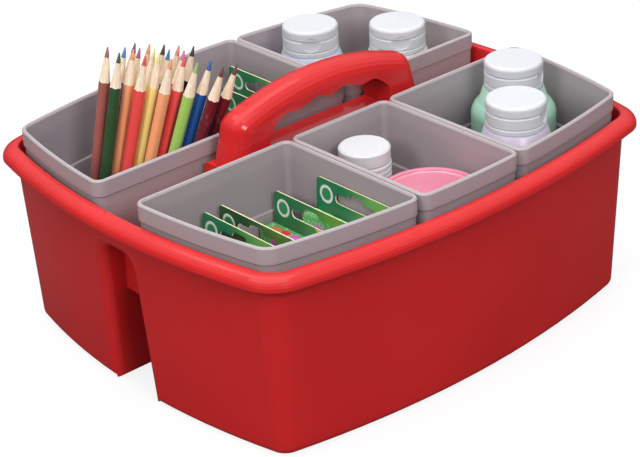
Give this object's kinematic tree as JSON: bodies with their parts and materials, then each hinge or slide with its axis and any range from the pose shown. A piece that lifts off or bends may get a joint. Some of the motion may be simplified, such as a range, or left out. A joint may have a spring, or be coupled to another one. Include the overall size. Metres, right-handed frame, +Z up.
{
  "type": "art supply caddy",
  "caption": "One-piece moulded caddy with a raised finger-grip handle over a hollow centre channel, and lift-out sorting cups filled with art supplies.",
  "frame": {"origin": "middle of the caddy's outline, on the surface it stands on", "axes": "+Z up, +X along the handle, the end with pencils is at -X, the paint bottles are at +X"},
  "size_m": [0.33, 0.2924, 0.1778],
  "materials": {
    "red_plastic": "smooth moulded plastic with a soft shine",
    "cup_plastic": "satin moulded plastic",
    "cap_white": "satin moulded plastic",
    "bottle_blue": "milky bottle full of blue paint",
    "bottle_yellow": "milky bottle full of yellow paint",
    "bottle_green": "milky bottle full of green paint",
    "bottle_lilac": "milky bottle full of lilac paint",
    "pencil": "painted shaft, bare wood cone and coloured point",
    "carton": "printed, coated carton",
    "pot_white": "moulded pot",
    "pot_lid": "glossy moulded lid",
    "dauber_white": "satin moulded plastic"
  },
  "bodies": {
    "caddy_body": {"caddy": "red_plastic"},
    "cup_back_long_body": {"cup_back_long": "cup_plastic"},
    "cup_back_corner_body": {"cup_back_corner": "cup_plastic"},
    "cup_front_left_body": {"cup_front_left": "cup_plastic"},
    "cup_front_middle_body": {"cup_front_middle": "cup_plastic"},
    "cup_front_right_body": {"cup_front_right": "cup_plastic"},
    "bottle_blue_body": {"bottle_blue": "bottle_blue", "collar_blue": "cap_white"},
    "flip_lid_blue_body": {"flip_lid_blue": "cap_white"},
    "bottle_yellow_body": {"bottle_yellow": "bottle_yellow", "collar_yellow": "cap_white"},
    "flip_lid_yellow_body": {"flip_lid_yellow": "cap_white"},
    "bottle_green_body": {"bottle_green": "bottle_green", "collar_green": "cap_white"},
    "flip_lid_green_body": {"flip_lid_green": "cap_white"},
    "bottle_lilac_body": {"bottle_lilac": "bottle_lilac", "collar_lilac": "cap_white"},
    "flip_lid_lilac_body": {"flip_lid_lilac": "cap_white"},
    "pencil_front_1_body": {"pencil_front_1": "pencil"},
    "pencil_front_2_body": {"pencil_front_2": "pencil"},
    "pencil_front_3_body": {"pencil_front_3": "pencil"},
    "pencil_front_4_body": {"pencil_front_4": "pencil"},
    "pencil_front_5_body": {"pencil_front_5": "pencil"},
    "pencil_front_6_body": {"pencil_front_6": "pencil"},
    "pencil_front_7_body": {"pencil_front_7": "pencil"},
    "pencil_front_8_body": {"pencil_front_8": "pencil"},
    "pencil_front_9_body": {"pencil_front_9": "pencil"},
    "pencil_front_10_body": {"pencil_front_10": "pencil"},
    "pencil_front_11_body": {"pencil_front_11": "pencil"},
    "pencil_back_1_body": {"pencil_back_1": "pencil"},
    "pencil_back_2_body": {"pencil_back_2": "pencil"},
    "pencil_back_3_body": {"pencil_back_3": "pencil"},
    "pencil_back_4_body": {"pencil_back_4": "pencil"},
    "pencil_back_5_body": {"pencil_back_5": "pencil"},
    "pencil_back_6_body": {"pencil_back_6": "pencil"},
    "pencil_back_7_body": {"pencil_back_7": "pencil"},
    "pencil_back_8_body": {"pencil_back_8": "pencil"},
    "pencil_back_9_body": {"pencil_back_9": "pencil"},
    "pencil_back_10_body": {"pencil_back_10": "pencil"},
    "crayon_pack_1_body": {"crayon_pack_1": "carton"},
    "crayon_pack_2_body": {"crayon_pack_2": "carton"},
    "crayon_pack_3_body": {"crayon_pack_3": "carton"},
    "crayon_pack_4_body": {"crayon_pack_4": "carton"},
    "crayon_pack_5_body": {"crayon_pack_5": "carton"},
    "crayon_pack_6_body": {"crayon_pack_6": "carton"},
    "dough_pot_body": {"dough_pot": "pot_white"},
    "dough_lid_body": {"dough_lid": "pot_lid"},
    "dauber_body": {"dauber_bottle": "dauber_white"},
    "dauber_cap_body": {"dauber_cap": "dauber_white"}
  },
  "joints": [
    {"name": "cup_back_long_lift", "type": "slide", "parent": "caddy_body", "child": "cup_back_long_body", "axis": [0, 0, 1], "range_m": [0, 0.145]},
    {"name": "cup_back_corner_lift", "type": "slide", "parent": "caddy_body", "child": "cup_back_corner_body", "axis": [0, 0, 1], "range_m": [0, 0.145]},
    {"name": "cup_front_left_lift", "type": "slide", "parent": "caddy_body", "child": "cup_front_left_body", "axis": [0, 0, 1], "range_m": [0, 0.145]},
    {"name": "cup_front_middle_lift", "type": "slide", "parent": "caddy_body", "child": "cup_front_middle_body", "axis": [0, 0, 1], "range_m": [0, 0.145]},
    {"name": "cup_front_right_lift", "type": "slide", "parent": "caddy_body", "child": "cup_front_right_body", "axis": [0, 0, 1], "range_m": [0, 0.145]},
    {"name": "bottle_blue_lift", "type": "slide", "parent": "cup_back_corner_body", "child": "bottle_blue_body", "axis": [0, 0, 1], "range_m": [0, 0.135]},
    {"name": "flip_lid_blue_hinge", "type": "hinge", "parent": "bottle_blue_body", "child": "flip_lid_blue_body", "pos_m": [0.08495, 0.1039, 0.1335], "axis": [-0.766, 0.6428, 0], "range_deg": [0, 120]},
    {"name": "bottle_yellow_lift", "type": "slide", "parent": "cup_back_corner_body", "child": "bottle_yellow_body", "axis": [0, 0, 1], "range_m": [0, 0.135]},
    {"name": "flip_lid_yellow_hinge", "type": "hinge", "parent": "bottle_yellow_body", "child": "flip_lid_yellow_body", "pos_m": [0.12419, 0.06488, 0.1335], "axis": [-0.809, 0.5878, 0], "range_deg": [0, 120]},
    {"name": "bottle_green_lift", "type": "slide", "parent": "cup_front_right_body", "child": "bottle_green_body", "axis": [0, 0, 1], "range_m": [0, 0.135]},
    {"name": "flip_lid_green_hinge", "type": "hinge", "parent": "bottle_green_body", "child": "flip_lid_green_body", "pos_m": [0.10826, -0.03299, 0.1335], "axis": [-0.8829, -0.4695, 0], "range_deg": [0, 120]},
    {"name": "bottle_lilac_lift", "type": "slide", "parent": "cup_front_right_body", "child": "bottle_lilac_body", "axis": [0, 0, 1], "range_m": [0, 0.135]},
    {"name": "flip_lid_lilac_hinge", "type": "hinge", "parent": "bottle_lilac_body", "child": "flip_lid_lilac_body", "pos_m": [0.06756, -0.07382, 0.1335], "axis": [-0.9135, -0.4067, 0], "range_deg": [0, 120]},
    {"name": "pencil_front_1_lift", "type": "slide", "parent": "cup_back_long_body", "child": "pencil_front_1_body", "axis": [0.1348, -0.1184, 0.9838], "range_m": [0, 0.15]},
    {"name": "pencil_front_2_lift", "type": "slide", "parent": "cup_back_long_body", "child": "pencil_front_2_body", "axis": [0.1427, -0.1366, 0.9803], "range_m": [0, 0.15]},
    {"name": "pencil_front_3_lift", "type": "slide", "parent": "cup_back_long_body", "child": "pencil_front_3_body", "axis": [0.1505, -0.1547, 0.9764], "range_m": [0, 0.15]},
    {"name": "pencil_front_4_lift", "type": "slide", "parent": "cup_back_long_body", "child": "pencil_front_4_body", "axis": [0.1582, -0.1728, 0.9722], "range_m": [0, 0.15]},
    {"name": "pencil_front_5_lift", "type": "slide", "parent": "cup_back_long_body", "child": "pencil_front_5_body", "axis": [0.1651, -0.2079, 0.9641], "range_m": [0, 0.15]},
    {"name": "pencil_front_6_lift", "type": "slide", "parent": "cup_back_long_body", "child": "pencil_front_6_body", "axis": [0.1732, -0.2088, 0.9625], "range_m": [0, 0.15]},
    {"name": "pencil_front_7_lift", "type": "slide", "parent": "cup_back_long_body", "child": "pencil_front_7_body", "axis": [0.1805, -0.2267, 0.9571], "range_m": [0, 0.15]},
    {"name": "pencil_front_8_lift", "type": "slide", "parent": "cup_back_long_body", "child": "pencil_front_8_body", "axis": [0.1877, -0.2445, 0.9513], "range_m": [0, 0.15]},
    {"name": "pencil_front_9_lift", "type": "slide", "parent": "cup_back_long_body", "child": "pencil_front_9_body", "axis": [0.1947, -0.2622, 0.9452], "range_m": [0, 0.15]},
    {"name": "pencil_front_10_lift", "type": "slide", "parent": "cup_back_long_body", "child": "pencil_front_10_body", "axis": [0.2016, -0.2798, 0.9387], "range_m": [0, 0.15]},
    {"name": "pencil_front_11_lift", "type": "slide", "parent": "cup_back_long_body", "child": "pencil_front_11_body", "axis": [0.2083, -0.2974, 0.9318], "range_m": [0, 0.15]},
    {"name": "pencil_back_1_lift", "type": "slide", "parent": "cup_back_long_body", "child": "pencil_back_1_body", "axis": [0.1724, -0.1822, 0.968], "range_m": [0, 0.15]},
    {"name": "pencil_back_2_lift", "type": "slide", "parent": "cup_back_long_body", "child": "pencil_back_2_body", "axis": [0.1718, -0.2019, 0.9642], "range_m": [0, 0.15]},
    {"name": "pencil_back_3_lift", "type": "slide", "parent": "cup_back_long_body", "child": "pencil_back_3_body", "axis": [0.1717, -0.2045, 0.9637], "range_m": [0, 0.15]},
    {"name": "pencil_back_4_lift", "type": "slide", "parent": "cup_back_long_body", "child": "pencil_back_4_body", "axis": [0.1716, -0.2071, 0.9632], "range_m": [0, 0.15]},
    {"name": "pencil_back_5_lift", "type": "slide", "parent": "cup_back_long_body", "child": "pencil_back_5_body", "axis": [0.1715, -0.2096, 0.9626], "range_m": [0, 0.15]},
    {"name": "pencil_back_6_lift", "type": "slide", "parent": "cup_back_long_body", "child": "pencil_back_6_body", "axis": [0.1714, -0.2122, 0.9621], "range_m": [0, 0.15]},
    {"name": "pencil_back_7_lift", "type": "slide", "parent": "cup_back_long_body", "child": "pencil_back_7_body", "axis": [0.1713, -0.2147, 0.9615], "range_m": [0, 0.15]},
    {"name": "pencil_back_8_lift", "type": "slide", "parent": "cup_back_long_body", "child": "pencil_back_8_body", "axis": [0.1712, -0.2173, 0.961], "range_m": [0, 0.15]},
    {"name": "pencil_back_9_lift", "type": "slide", "parent": "cup_back_long_body", "child": "pencil_back_9_body", "axis": [0.1711, -0.2198, 0.9604], "range_m": [0, 0.15]},
    {"name": "pencil_back_10_lift", "type": "slide", "parent": "cup_back_long_body", "child": "pencil_back_10_body", "axis": [0.171, -0.2224, 0.9598], "range_m": [0, 0.15]},
    {"name": "crayon_pack_1_lift", "type": "slide", "parent": "cup_front_left_body", "child": "crayon_pack_1_body", "axis": [0, 0, 1], "range_m": [0, 0.14]},
    {"name": "crayon_pack_2_lift", "type": "slide", "parent": "cup_front_left_body", "child": "crayon_pack_2_body", "axis": [0, 0, 1], "range_m": [0, 0.14]},
    {"name": "crayon_pack_3_lift", "type": "slide", "parent": "cup_front_left_body", "child": "crayon_pack_3_body", "axis": [0.0523, 0, 0.9986], "range_m": [0, 0.14]},
    {"name": "crayon_pack_4_lift", "type": "slide", "parent": "cup_front_left_body", "child": "crayon_pack_4_body", "axis": [0.0523, 0, 0.9986], "range_m": [0, 0.14]},
    {"name": "crayon_pack_5_lift", "type": "slide", "parent": "cup_back_long_body", "child": "crayon_pack_5_body", "axis": [0, 0, 1], "range_m": [0, 0.14]},
    {"name": "crayon_pack_6_lift", "type": "slide", "parent": "cup_back_long_body", "child": "crayon_pack_6_body", "axis": [0, 0, 1], "range_m": [0, 0.14]},
    {"name": "dough_pot_lift", "type": "slide", "parent": "cup_front_middle_body", "child": "dough_pot_body", "axis": [0, 0, 1], "range_m": [0, 0.14]},
    {"name": "dough_lid_lift", "type": "slide", "parent": "dough_pot_body", "child": "dough_lid_body", "axis": [0, 0, 1], "range_m": [0, 0.03]},
    {"name": "dauber_lift", "type": "slide", "parent": "cup_front_middle_body", "child": "dauber_body", "axis": [0, 0, 1], "range_m": [0, 0.14]},
    {"name": "dauber_cap_lift", "type": "slide", "parent": "dauber_body", "child": "dauber_cap_body", "axis": [0, 0, 1], "range_m": [0, 0.04]}
  ]
}
